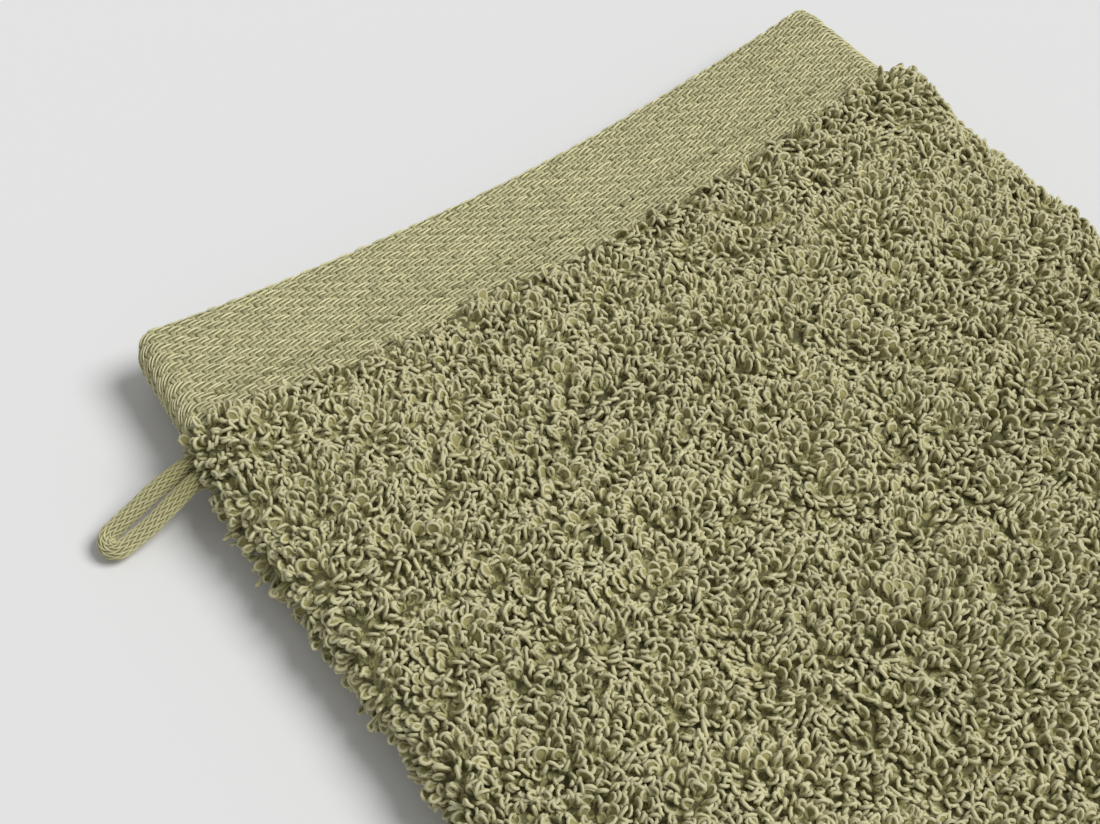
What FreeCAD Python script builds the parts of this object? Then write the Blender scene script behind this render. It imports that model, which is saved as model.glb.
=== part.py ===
# Terry wash mitt: two panels of looped towelling sewn together round three
# sides, a flat twill hem band at the open mouth, and a cord hanging loop
# caught in the side seam beside the mouth.
#
# Row frame, millimetres: origin at the centre of the mitt's footprint on the
# surface that it lies on, +Z up, +Y from the mouth towards the closed end,
# +X towards the side seam that holds the loop.
import FreeCAD, Part
import math
import os

os.makedirs("parts", exist_ok=True)
V = FreeCAD.Vector

# ---------------------------------------------------------------- dimensions
panel_width = 164.0        # across the pile, side to side
cuff_width = 160.0         # across the flat hem band
mitt_length = 220.0        # mouth corners to closed end
mitt_height = 17.0         # lying flat, pile included
mid_z = mitt_height / 2.0  # plane in which the two panels meet
split_gap = 0.10           # between the two panels at that plane

panel_wall = 6.0           # ground cloth with its pile, both faces
panel_edge_r = 7.4         # rounded side walls of the pile
end_corner_r = 15.0        # closed-end corners in plan
pocket_height = 5.0        # clear height of the hand pocket

cuff_height = 9.4          # over both hem bands
cuff_wall = 2.2            # doubled hem, two layers of twill
cuff_edge_r = 4.4          # rounded sides of the band
mouth_corner_r = 3.0       # mouth corners in plan

border_side_y = -84.0      # pile starts here at the two sides
border_bow = 4.5           # and this much further in at the middle
mouth_side_y = -110.35     # mouth edge at the two sides
mouth_bow = 4.5            # and this much further in at the middle

allowance = 6.5            # seam allowance turned inside the pocket
allowance_half = 1.85      # one panel's layer of it

hem_stitch_in = 5.2        # stitch row, from the border towards the mouth
hem_stitch_pitch = 2.9
hem_stitch = (1.9, 0.55, 0.36)   # one stitch: length, width, height
hem_groove = (1.0, 0.45)         # the sunk channel: width, depth

overlock_pitch = 4.0
overlock_thread = 0.35

cord_d = 3.2               # hanging loop cord
cord_r = cord_d / 2.0
hinge_x = 83.8             # where the loop's legs leave the side seam
hinge_z = mid_z
loop_y = -79.9             # middle of the two legs at the seam
leg_half = 1.66            # half the distance between the legs there

half_w = panel_width / 2.0
half_c = cuff_width / 2.0
y_end = mitt_length / 2.0
pz0 = mid_z - pocket_height / 2.0
pz1 = mid_z + pocket_height / 2.0


def box(x0, x1, y0, y1, z0, z1):
    return Part.makeBox(x1 - x0, y1 - y0, z1 - z0, V(x0, y0, z0))


def edges_along(shape, axis, test=lambda e: True):
    """Straight edges of a shape along one axis."""
    out = []
    for e in shape.Edges:
        if e.Curve.TypeId != "Part::GeomLine":
            continue
        d = e.valueAt(e.LastParameter) - e.valueAt(e.FirstParameter)
        if d.Length < 1e-6:
            continue
        d.normalize()
        if abs(getattr(d, axis)) > 0.999 and test(e):
            out.append(e)
    return out


def arc_through(side_y, bow, half):
    """Arc bowed towards +Y at the middle, through (+-half, side_y)."""
    return Part.Arc(V(-half, side_y, 0), V(0, side_y + bow, 0), V(half, side_y, 0))


def arc_radius(bow, half):
    return (half * half + bow * bow) / (2.0 * bow)


def region(side_y0, bow0, side_y1, bow1, half, z0, z1):
    """Band in plan between two bowed lines, as a solid from z0 to z1."""
    a = arc_through(side_y0, bow0, half).toShape()
    b = arc_through(side_y1, bow1, half).toShape()
    l = Part.LineSegment(V(-half, side_y0, 0), V(-half, side_y1, 0)).toShape()
    r = Part.LineSegment(V(half, side_y0, 0), V(half, side_y1, 0)).toShape()
    w = Part.Wire(Part.__sortEdges__([a, r, b, l]))
    s = Part.Face(w).extrude(V(0, 0, z1 - z0))
    s.translate(V(0, 0, z0))
    return s


# ------------------------------------------------------------ terry panels
# outer pillow of both panels, with rounded sides and closed end
outer = box(-half_w, half_w, -100.0, y_end, 0.0, mitt_height)
corner = edges_along(outer, "z", lambda e: e.BoundBox.YMin > 0)
outer = outer.makeFillet(end_corner_r, corner)
rim = [
    e
    for e in outer.Edges
    if e.BoundBox.ZLength < 1e-6 and e.BoundBox.YMax > -99.9
]
outer = outer.makeFillet(panel_edge_r, rim)

# hand pocket between them, open at the mouth
pocket_half = half_w - panel_wall
pocket_end = y_end - panel_wall - 1.0
pocket = box(-pocket_half, pocket_half, -130.0, pocket_end, pz0, pz1)
pocket = pocket.makeFillet(10.0, edges_along(pocket, "z", lambda e: e.BoundBox.YMin > 0))

shell = outer.cut(pocket)

# only the part behind the bowed border is pile
border_R = arc_radius(border_bow, half_w)
border_c = V(0, border_side_y + border_bow - border_R, 0)
disc = Part.makeCylinder(border_R + 0.12, 40.0, V(border_c.x, border_c.y, -5.0))
shell = shell.cut(disc)

# seam allowances of both panels, turned inside the pocket
inner_half = pocket_half - allowance
inner_end = pocket_end - allowance
frame = box(-pocket_half - 0.3, pocket_half + 0.3, -130.0, pocket_end + 0.3, 0, 20)
frame = frame.makeFillet(10.0, edges_along(frame, "z", lambda e: e.BoundBox.YMin > 0))
hole = box(-inner_half, inner_half, -140.0, inner_end, -1, 21)
hole = hole.makeFillet(5.0, edges_along(hole, "z", lambda e: e.BoundBox.YMin > 0))
frame = frame.cut(hole)


def flange(z0, z1):
    return frame.common(box(-90, 90, -130, 120, z0, z1))


def cuff_flange(z0, z1):
    """The same allowances through the hem band, joined to its thinner sides."""
    x1 = half_c - cuff_wall + 0.5
    return box(inner_half, x1, -130, -60, z0, z1).fuse(box(-x1, -inner_half, -130, -60, z0, z1))


top_z0 = mid_z + split_gap / 2.0
bot_z1 = mid_z - split_gap / 2.0
flange_top = flange(top_z0, top_z0 + allowance_half)
flange_bot = flange(bot_z1 - allowance_half, bot_z1)

above = box(-120, 120, -140, 140, top_z0, 40)
below = box(-120, 120, -140, 140, -10, bot_z1)

# slot through the seam for the two cord ends of the loop
slot_y0 = loop_y - leg_half - cord_r - 0.15
slot_y1 = loop_y + leg_half + cord_r + 0.15
slot = box(inner_half - 1.0, 90.0, slot_y0, slot_y1, mid_z - cord_r - 0.1, mid_z + cord_r + 0.1)
notch = box(inner_half - 1.0, pocket_half, slot_y0, slot_y1, pz0, pz1)

front_panel = shell.common(above).fuse(flange_top.cut(disc)).cut(slot).cut(notch).removeSplitter()
back_panel = shell.common(below).fuse(flange_bot.cut(disc)).cut(slot).cut(notch).removeSplitter()

# ------------------------------------------------------------ hem band (cuff)
cz0 = mid_z - cuff_height / 2.0
cz1 = mid_z + cuff_height / 2.0
band = box(-half_c, half_c, -130.0, -60.0, cz0, cz1)
band = band.makeFillet(cuff_edge_r, edges_along(band, "y"))
hollow = box(-half_c + cuff_wall, half_c - cuff_wall, -140.0, -50.0, pz0, pz1)
hollow = hollow.makeFillet(2.4, edges_along(hollow, "y"))
band = band.cut(hollow)

cuff_plan = region(mouth_side_y, mouth_bow, -60.0, 0.001, half_c, -5.0, 30.0)
cuff_plan = cuff_plan.makeFillet(
    mouth_corner_r, edges_along(cuff_plan, "z", lambda e: e.BoundBox.YMax < -100.0)
)
keep = Part.makeCylinder(border_R - 0.12, 40.0, V(border_c.x, border_c.y, -5.0))
cuff_plan = cuff_plan.common(keep)

# sunk channel of the hem's stitch row, top and bottom
stitch_R = border_R - hem_stitch_in
channel = Part.makeCylinder(
    stitch_R + hem_groove[0] / 2.0, 40.0, V(border_c.x, border_c.y, -5.0)
).cut(Part.makeCylinder(stitch_R - hem_groove[0] / 2.0, 42.0, V(border_c.x, border_c.y, -6.0)))
channel = channel.common(box(-74.0, 74.0, -130, -60, -5, 30))
channel_top = channel.common(box(-90, 90, -130, -60, cz1 - hem_groove[1], cz1 + 5))
channel_bot = channel.common(box(-90, 90, -130, -60, cz0 - 5, cz0 + hem_groove[1]))

cuff_solid = band.common(cuff_plan)
front_cuff = (
    cuff_solid.common(above)
    .fuse(cuff_flange(top_z0, top_z0 + allowance_half).common(cuff_plan))
    .cut(channel_top)
    .removeSplitter()
)
back_cuff = (
    cuff_solid.common(below)
    .fuse(cuff_flange(bot_z1 - allowance_half, bot_z1).common(cuff_plan))
    .cut(channel_bot)
    .removeSplitter()
)


# ------------------------------------------------------------ hem stitching
def hem_row(z0, z1):
    """A row of short stitches lying in the sunk channel."""
    out = []
    step = hem_stitch_pitch / stitch_R
    n = int(70.0 / hem_stitch_pitch)
    for i in range(-n, n + 1):
        a = i * step
        s = box(-hem_stitch[0] / 2, hem_stitch[0] / 2, -hem_stitch[1] / 2, hem_stitch[1] / 2, z0, z1)
        s.rotate(V(0, 0, 0), V(0, 0, 1), -math.degrees(a))
        s.translate(V(stitch_R * math.sin(a), border_c.y + stitch_R * math.cos(a), 0))
        out.append(s)
    return Part.makeCompound(out)


gap = 0.05
front_hem_stitching = hem_row(cz1 - hem_groove[1] + gap, cz1 - hem_groove[1] + gap + hem_stitch[2])
back_hem_stitching = hem_row(cz0 + hem_groove[1] - gap - hem_stitch[2], cz0 + hem_groove[1] - gap)


# ------------------------------------------------------------ overlock threads
# each stitch wraps the raw edge of the two allowances like a staple
az0 = bot_z1 - allowance_half
az1 = top_z0 + allowance_half
t = overlock_thread
clear = 0.05


def staple(reach=4.0, wide=0.5):
    """Stitch round an edge at x = 0, its legs reaching to +X."""
    a = box(-0.2 - t, reach, -wide / 2, wide / 2, az1 + clear, az1 + clear + t)
    b = box(-0.2 - t, reach, -wide / 2, wide / 2, az0 - clear - t, az0 - clear)
    c = box(-0.2 - t, -0.2, -wide / 2, wide / 2, az0 - clear - t, az1 + clear + t)
    return a.fuse(b).fuse(c).removeSplitter()


def seam_row(side):
    out = []
    y = mouth_side_y + 6.0
    while y < inner_end - 8.0:
        if not (slot_y0 - 0.6 < y < slot_y1 + 0.6 and side > 0):
            s = staple()
            if side < 0:
                s.rotate(V(0, 0, 0), V(0, 0, 1), 180.0)
            s.translate(V(side * inner_half, y, 0))
            out.append(s)
        y += overlock_pitch
    return Part.makeCompound(out)


left_seam_thread = seam_row(+1)
# the staples' legs point outwards, away from the hand
right_seam_thread = seam_row(-1)

end = []
x = -inner_half + 8.0
while x <= inner_half - 8.0 + 1e-6:
    s = staple()
    s.rotate(V(0, 0, 0), V(0, 0, 1), 90.0)
    s.translate(V(x, inner_end, 0))
    end.append(s)
    x += overlock_pitch
end_seam_thread = Part.makeCompound(end)

# ------------------------------------------------------------ hanging loop
# One cord: out along the leg on the mouth side, round the tip, and back.
# u runs outwards from the seam, n across it towards the closed end; the
# whole loop leans a little towards the closed end and droops to the surface.
lean = math.radians(9.0)
route_local = [
    (0.0, -1.66, 8.5),
    (4.8, -1.76, 7.5),
    (10.0, -2.24, 5.0),
    (13.0, -2.16, 3.5),
    (15.0, -2.02, 2.75),
    (16.18, -0.85, 2.35),
    (16.18, 0.85, 2.30),
    (15.0, 2.02, 2.60),
    (13.0, 2.20, 3.20),
    (10.0, 2.34, 4.5),
    (4.8, 1.80, 7.2),
    (0.0, 1.66, 8.5),
]
route = [
    V(
        hinge_x + u * math.cos(lean) - n * math.sin(lean) + (0.26 if n > 0 and u == 0 else (-0.26 if u == 0 else 0)),
        loop_y + u * math.sin(lean) + n * math.cos(lean),
        z,
    )
    for u, n, z in route_local
]


def cord_path(points):
    """Straight runs joined by tangent arcs, each as large as its runs allow."""
    edges = []
    radii = []
    start = points[0]
    for i in range(1, len(points) - 1):
        a, b, c = points[i - 1], points[i], points[i + 1]
        d1 = b - a
        d2 = c - b
        short = min(d1.Length, d2.Length)
        e1 = V(d1).normalize()
        e2 = V(d2).normalize()
        turn = e1.getAngle(e2)
        cut = 0.45 * short
        radius = cut / math.tan(turn / 2.0)
        radii.append((math.degrees(turn), radius))
        p = b - e1 * cut
        q = b + e2 * cut
        half = (e2 - e1).normalize()
        m = b + half * (radius / math.cos(turn / 2.0) - radius)
        edges.append(Part.LineSegment(start, p).toShape())
        edges.append(Part.Arc(p, m, q).toShape())
        start = q
    edges.append(Part.LineSegment(start, points[-1]).toShape())
    return Part.Wire(edges), radii


path, radii = cord_path(route)
first = path.Edges[0]
direction = first.tangentAt(first.FirstParameter)
circle = Part.Wire([Part.makeCircle(cord_r, route[0], direction)])
tube = path.makePipeShell([circle], True, True)
if tube.Volume < 0:
    tube.reverse()
print("cord length %.2f mm" % path.Length)
print("bends, degrees and radius: " + ", ".join("%.0f r%.2f" % r for r in radii))
print(
    "tube volume %.2f, section times length %.2f mm3"
    % (tube.Volume, math.pi * cord_r**2 * path.Length)
)
# the legs turn in the seam on rounded ends
hanging_loop = tube
for p in (route[0], route[-1]):
    hanging_loop = hanging_loop.fuse(Part.makeSphere(cord_r, p))
hanging_loop = hanging_loop.removeSplitter()

# the two cord ends caught between the seam allowances
tail_x0 = inner_half + 4.5
tail_x1 = half_w
tails = []
for s in (-1, 1):
    tails.append(
        Part.makeCylinder(
            cord_r, tail_x1 - tail_x0, V(tail_x0, loop_y + s * leg_half * 0.99, mid_z), V(1, 0, 0)
        )
    )
loop_ends = Part.makeCompound(tails)

# ------------------------------------------------------------ write the nodes
nodes = {
    "front_panel": front_panel,
    "back_panel": back_panel,
    "front_cuff": front_cuff,
    "back_cuff": back_cuff,
    "front_hem_stitching": front_hem_stitching,
    "back_hem_stitching": back_hem_stitching,
    "left_seam_thread": left_seam_thread,
    "right_seam_thread": right_seam_thread,
    "end_seam_thread": end_seam_thread,
    "hanging_loop": hanging_loop,
    "loop_ends": loop_ends,
}
for name, shape in nodes.items():
    ok = shape.isValid() and all(s.isClosed() for s in shape.Solids)
    b = shape.BoundBox
    print(
        "%-22s solids %3d valid %s volume %9.1f  x %.2f..%.2f  y %.2f..%.2f  z %.2f..%.2f"
        % (name, len(shape.Solids), ok, shape.Volume, b.XMin, b.XMax, b.YMin, b.YMax, b.ZMin, b.ZMax)
    )
    shape.exportStep("parts/%s.step" % name)
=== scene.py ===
import math

import bpy
import numpy as np
from mathutils import Matrix, Vector


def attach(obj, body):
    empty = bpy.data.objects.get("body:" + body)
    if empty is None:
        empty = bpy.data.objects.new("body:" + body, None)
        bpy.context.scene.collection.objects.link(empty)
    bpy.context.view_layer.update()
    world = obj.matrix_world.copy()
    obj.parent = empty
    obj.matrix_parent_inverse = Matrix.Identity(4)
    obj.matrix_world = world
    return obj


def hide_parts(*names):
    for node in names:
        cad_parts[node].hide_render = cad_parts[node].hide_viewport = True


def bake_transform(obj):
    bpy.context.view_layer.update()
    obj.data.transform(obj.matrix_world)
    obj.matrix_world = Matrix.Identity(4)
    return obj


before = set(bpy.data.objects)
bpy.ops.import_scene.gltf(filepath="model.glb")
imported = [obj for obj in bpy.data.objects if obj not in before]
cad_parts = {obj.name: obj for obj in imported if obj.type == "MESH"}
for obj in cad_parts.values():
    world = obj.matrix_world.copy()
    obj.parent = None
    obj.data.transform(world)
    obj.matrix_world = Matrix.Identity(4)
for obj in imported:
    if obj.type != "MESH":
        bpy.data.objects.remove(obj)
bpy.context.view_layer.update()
MM = 0.001
rng = np.random.default_rng(20261)

# ------------------------------------------------------------------ camera
scene = bpy.context.scene
cam_data = bpy.data.cameras.new("camera")
cam = bpy.data.objects.new("camera", cam_data)
scene.collection.objects.link(cam)
cam_data.sensor_width = 36.0
cam_data.lens = 54.88
cam_data.clip_start = 0.01
cam_data.clip_end = 10.0
CAM_AZ, CAM_EL, CAM_DIST = math.radians(144.95), math.radians(52.0), 0.2930
aim = Vector((0.0258, -0.05485, 0.008))
back = Vector((math.sin(CAM_AZ) * math.cos(CAM_EL), -math.cos(CAM_AZ) * math.cos(CAM_EL), math.sin(CAM_EL)))
cam.location = aim + back * CAM_DIST
cam.rotation_mode = "QUATERNION"
cam.rotation_quaternion = (-back).to_track_quat("-Z", "Y")
scene.camera = cam

# ------------------------------------------------------------------ sizes (mm)
MID = 8.5
HALF_C = 80.0           # hem band half width
MOUTH_Y = -110.35
BORDER_Y = -84.0
BOW = 4.5
END_Y = 110.0
G_HALF = 79.3           # ground cloth half width, pile stands outside it
G_TOP = 5.75            # ground cloth above the middle plane
G_EDGE = 5.6            # rounding of its side
G_CORNER = 12.5         # closed-end corners in plan
PILE = 3.05             # height of a pile loop


# ------------------------------------------------------------------ helpers
def value_noise(seed):
    """Smooth noise of x, y in about -1..1, one cell per unit."""
    g = np.random.default_rng(seed).uniform(-1, 1, (256, 256))

    def f(x, y):
        x = np.asarray(x, float) + 1000.0
        y = np.asarray(y, float) + 1000.0
        xi, yi = np.floor(x).astype(int), np.floor(y).astype(int)
        fx, fy = x - xi, y - yi

        def w(t):
            return (
                (1 - t) ** 3 / 6,
                (3 * t**3 - 6 * t**2 + 4) / 6,
                (-3 * t**3 + 3 * t**2 + 3 * t + 1) / 6,
                t**3 / 6,
            )

        wx, wy = w(fx), w(fy)
        out = 0.0
        for a in range(4):
            for b in range(4):
                out = out + wx[a] * wy[b] * g[(xi + a - 1) % 256, (yi + b - 1) % 256]
        return out * 2.0

    return f


def unit(v):
    return v / np.maximum(np.linalg.norm(v, axis=-1, keepdims=True), 1e-12)


def make_mesh(name, verts, quads, material, data=None, uv=None, smooth=True, tris=None):
    """A mesh object from arrays in millimetres. data is an (n, 3) colour attribute; uv is per corner."""
    me = bpy.data.meshes.new(name)
    verts = np.ascontiguousarray(verts, np.float32) * MM
    quads = np.asarray(quads, np.int32).reshape(-1, 4)
    corners = quads.ravel()
    starts = np.arange(len(quads), dtype=np.int32) * 4
    if tris is not None and len(tris):
        tris = np.asarray(tris, np.int32).reshape(-1, 3)
        starts = np.concatenate([starts, len(corners) + np.arange(len(tris), dtype=np.int32) * 3])
        corners = np.concatenate([corners, tris.ravel()])
    me.vertices.add(len(verts))
    me.vertices.foreach_set("co", verts.ravel())
    me.loops.add(len(corners))
    me.loops.foreach_set("vertex_index", corners.astype(np.int32))
    me.polygons.add(len(starts))
    me.polygons.foreach_set("loop_start", starts)
    me.update(calc_edges=True)
    me.polygons.foreach_set("use_smooth", np.full(len(starts), smooth, bool))
    if data is not None:
        a = me.attributes.new("pile", "FLOAT_COLOR", "POINT")
        rgba = np.ones((len(verts), 4), np.float32)
        rgba[:, :3] = data
        a.data.foreach_set("color", rgba.ravel())
    if uv is not None:
        layer = me.uv_layers.new(name="OFBake")
        layer.data.foreach_set("uv", np.ascontiguousarray(uv, np.float32).ravel())
    me.materials.append(material)
    me.update()
    ob = bpy.data.objects.new(name, me)
    scene.collection.objects.link(ob)
    return ob


def tubes(name, centre, e1, e2, r1, r2, material, data, sides=4, spin=0.0, web=None):
    """Many short tubes in one mesh. centre, e1, e2 are (n, k, 3); r1, r2 (n, k); data (n, k, 3).
    web is how far that fill bulges along e1: the fibres that fill the eye of a loop are then added between its two
    legs, with painted shade."""
    n, k, _ = centre.shape
    a = np.arange(sides) * (2 * np.pi / sides) + spin
    ring = (
        centre[:, :, None, :]
        + e1[:, :, None, :] * (np.cos(a)[None, None, :, None] * r1[:, :, None, None])
        + e2[:, :, None, :] * (np.sin(a)[None, None, :, None] * r2[:, :, None, None])
    )
    verts = ring.reshape(-1, 3)
    base = (np.arange(n) * k * sides)[:, None, None]
    i = np.arange(k - 1)[None, :, None] * sides
    j = np.arange(sides)[None, None, :]
    jn = (np.arange(sides)[None, None, :] + 1) % sides
    q = np.stack([base + i + j, base + i + jn, base + i + sides + jn, base + i + sides + j], -1)
    quads = q.reshape(-1, 4)
    b0 = (np.arange(n) * k * sides)[:, None]
    tris = None
    if sides == 4:
        cap0 = b0 + np.array([[3, 2, 1, 0]])
        cap1 = b0 + (k - 1) * sides + np.array([[0, 1, 2, 3]])
        quads = np.concatenate([quads, cap0, cap1])
    else:
        fan = np.array([[0, m + 1, m] for m in range(1, sides - 1)])
        t0 = b0[:, :, None] + fan[None]
        t1 = b0[:, :, None] + (k - 1) * sides + fan[None][:, :, [0, 2, 1]]
        tris = np.concatenate([t0.reshape(-1, 3), t1.reshape(-1, 3)])
    # one small cell of the map for each tube
    m = int(math.ceil(math.sqrt(n)))
    cell = 1.0 / m
    idx = np.arange(n)
    org = np.stack([(idx % m) * cell, (idx // m) * cell], -1)
    vu = np.empty((n, k, sides, 2))
    vu[..., 0] = org[:, None, None, 0] + cell * (0.1 + 0.8 * (np.arange(k) / (k - 1))[None, :, None])
    vu[..., 1] = org[:, None, None, 1] + cell * (0.1 + 0.8 * (np.arange(sides) / sides)[None, None, :])
    vu = vu.reshape(-1, 2)
    col = np.repeat(data.reshape(-1, 3), sides, axis=0)
    if web is not None:
        w0 = len(verts)
        half = k // 2
        legs = np.stack([centre[:, :half], centre[:, : half : -1][:, :half]], 2)   # n, half, 2, 3
        belly = np.sin(np.linspace(0, 1, half) * np.pi * 0.9)
        mid = legs.mean(2) + e1[:, :half] * (web[:, None] * belly[None])[..., None]
        top = centre[:, half]
        wv = np.concatenate([np.concatenate([legs[:, :, :1], mid[:, :, None], legs[:, :, 1:]], 2).reshape(n, half * 3, 3), top[:, None]], 1)
        m3 = half * 3 + 1
        b = w0 + (np.arange(n) * m3)[:, None]
        wq = []
        for a in range(half - 1):
            for c in range(2):
                wq.append([a * 3 + c, a * 3 + c + 1, a * 3 + c + 4, a * 3 + c + 3])
        wq = (b[:, :, None] + np.array(wq)[None]).reshape(-1, 4)
        last = (half - 1) * 3
        wt = (b[:, :, None] + np.array([[last, last + 1, m3 - 1], [last + 1, last + 2, m3 - 1]])[None]).reshape(-1, 3)
        verts = np.concatenate([verts, wv.reshape(-1, 3)])
        quads = np.concatenate([quads, wq])
        tris = wt if tris is None else np.concatenate([tris, wt])
        wd = np.repeat(data[:, :half].reshape(n, half, 1, 3), 3, 2).reshape(n, half * 3, 3)
        wd = np.concatenate([wd, data[:, half : half + 1]], 1).copy()
        # painted shade: the fill gets a low depth and the eye flag, which the material darkens
        wd[..., 1] *= 0.12
        wd[..., 2] = 1.0
        col = np.concatenate([col, wd.reshape(-1, 3)])
        wu = np.empty((n, m3, 2))
        wu[:, :, 0] = org[:, None, 0] + cell * (0.1 + 0.8 * np.concatenate([np.repeat(np.arange(half) / half, 3), [1.0]])[None])
        wu[:, :, 1] = org[:, None, 1] + cell * (0.1 + 0.8 * np.concatenate([np.tile([0.0, 0.5, 1.0], half), [0.5]])[None])
        vu = np.concatenate([vu, wu.reshape(-1, 2)])
    corners = quads.ravel() if tris is None else np.concatenate([quads.ravel(), tris.ravel()])
    return make_mesh(name, verts, quads, material, col, vu[corners], tris=tris)


def grid_quads(nu, nv, off=0, flip=False):
    """Quads of a grid with nu columns and nv rows of points, row-major in v."""
    i, j = np.meshgrid(np.arange(nu - 1), np.arange(nv - 1))
    a = (j * nu + i + off).ravel()
    q = np.stack([a, a + 1, a + 1 + nu, a + nu], -1)
    return q[:, ::-1] if flip else q


def closed_cloth(name, outer, inner, material, tone=0.5):
    """A sheet with thickness from two (nv, nu, 3) skins, rimmed round the edge. outer faces out."""
    nv, nu, _ = outer.shape
    n = nu * nv
    verts = np.concatenate([outer.reshape(-1, 3), inner.reshape(-1, 3)])
    q = [grid_quads(nu, nv), grid_quads(nu, nv, n, True)]
    ring = np.concatenate(
        [
            np.arange(nu - 1),
            (np.arange(nv - 1)) * nu + nu - 1,
            (nv - 1) * nu + np.arange(nu - 1, 0, -1),
            np.arange(nv - 1, 0, -1) * nu,
        ]
    )
    nxt = np.roll(ring, -1)
    q.append(np.stack([ring, ring + n, nxt + n, nxt], -1))
    quads = np.concatenate(q)
    u = np.tile(np.linspace(0, 1, nu), nv)
    v = np.repeat(np.linspace(0, 1, nv), nu)
    uvv = np.concatenate([np.stack([u * 0.49, v], -1), np.stack([0.51 + u * 0.49, v], -1)])
    uv = uvv[quads.ravel()]
    data = np.full((2 * n, 3), tone)
    data[:, 2] = 0.0
    return make_mesh(name, verts, quads, material, data, uv)


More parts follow.
